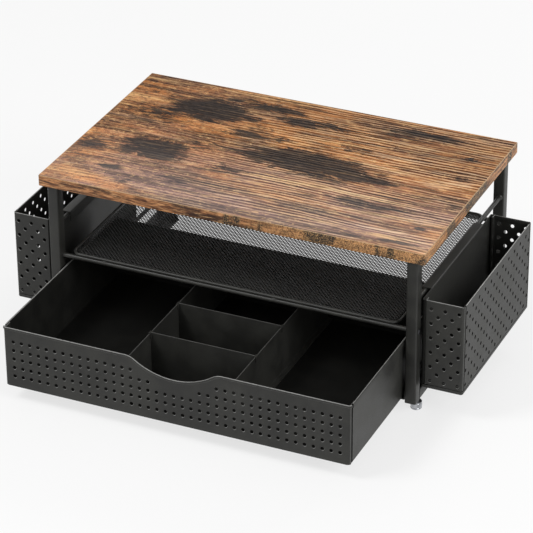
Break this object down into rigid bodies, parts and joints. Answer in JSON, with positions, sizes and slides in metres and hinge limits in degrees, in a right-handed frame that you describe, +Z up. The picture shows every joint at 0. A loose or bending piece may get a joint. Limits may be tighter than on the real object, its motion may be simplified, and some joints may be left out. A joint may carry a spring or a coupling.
{
  "type": "desktop printer stand with drawer",
  "caption": "Desktop printer stand: wood-look board on tube frames, mesh shelf, perforated pull-out drawer with lift-out dividers, hanging pen holders.",
  "frame": {"origin": "on the desk plane, midway between the four feet, under the centre of the board", "axes": "+X to the right along the board's long side, +Z up from the desk; the drawer opens towards -Y"},
  "size_m": [0.6256, 0.491, 0.237],
  "materials": {
    "board": "rustic wood print, satin",
    "banding": "wood print edge strip, satin",
    "frame": "matte black powder coat",
    "sheet": "matte black powder coat on thin sheet",
    "mesh": "black coated expanded mesh",
    "chrome": "bright plated",
    "nut": "zinc plated",
    "screw": "black oxide steel",
    "rubber": "matte"
  },
  "bodies": {
    "stand": {"top_board": "board", "edge_banding": "banding", "leg_front_left": "frame", "leg_rear_left": "frame", "top_rail_left": "frame", "bottom_rail_left": "frame", "hanging_rod_left": "frame", "lower_rod_left": "frame", "runner_left": "frame", "leg_front_right": "frame", "leg_rear_right": "frame", "top_rail_right": "frame", "bottom_rail_right": "frame", "hanging_rod_right": "frame", "lower_rod_right": "frame", "runner_right": "frame", "crossbar_front": "frame", "crossbar_rear": "frame", "shelf_rim": "frame", "shelf_backstop": "frame", "shelf_mesh": "mesh", "board_screws": "screw", "crossbar_screws": "screw", "foot_nuts": "nut"},
    "drawer": {"drawer_tray": "sheet", "drawer_front": "sheet", "long_divider_left": "sheet", "long_divider_right": "sheet"},
    "cross_divider_front": {"cross_divider_front": "sheet"},
    "cross_divider_rear": {"cross_divider_rear": "sheet"},
    "holder_left": {"holder_back_left": "sheet", "holder_front_end_left": "sheet", "holder_rear_end_left": "sheet", "holder_side_left": "sheet", "holder_base_left": "sheet", "holder_bumpers_left": "rubber"},
    "foot_front_left": {"foot_front_left": "chrome"},
    "foot_rear_left": {"foot_rear_left": "chrome"},
    "holder_right": {"holder_back_right": "sheet", "holder_front_end_right": "sheet", "holder_rear_end_right": "sheet", "holder_side_right": "sheet", "holder_base_right": "sheet", "holder_bumpers_right": "rubber"},
    "foot_front_right": {"foot_front_right": "chrome"},
    "foot_rear_right": {"foot_rear_right": "chrome"}
  },
  "joints": [
    {"name": "drawer_slide", "type": "slide", "parent": "stand", "child": "drawer", "axis": [0, -1, 0], "range_m": [-0.165, 0.075]},
    {"name": "cross_divider_front_lift", "type": "slide", "parent": "drawer", "child": "cross_divider_front", "axis": [0, 0, 1], "range_m": [0, 0.07]},
    {"name": "cross_divider_rear_lift", "type": "slide", "parent": "drawer", "child": "cross_divider_rear", "axis": [0, 0, 1], "range_m": [0, 0.07]},
    {"name": "holder_left_lift", "type": "slide", "parent": "stand", "child": "holder_left", "axis": [0, 0, 1], "range_m": [0, 0.035]},
    {"name": "holder_right_lift", "type": "slide", "parent": "stand", "child": "holder_right", "axis": [0, 0, 1], "range_m": [0, 0.035]},
    {"name": "foot_front_left_screw", "type": "slide", "parent": "stand", "child": "foot_front_left", "axis": [0, 0, -1], "range_m": [-0.006, 0.004]},
    {"name": "foot_rear_left_screw", "type": "slide", "parent": "stand", "child": "foot_rear_left", "axis": [0, 0, -1], "range_m": [-0.006, 0.004]},
    {"name": "foot_front_right_screw", "type": "slide", "parent": "stand", "child": "foot_front_right", "axis": [0, 0, -1], "range_m": [-0.006, 0.004]},
    {"name": "foot_rear_right_screw", "type": "slide", "parent": "stand", "child": "foot_rear_right", "axis": [0, 0, -1], "range_m": [-0.006, 0.004]}
  ]
}
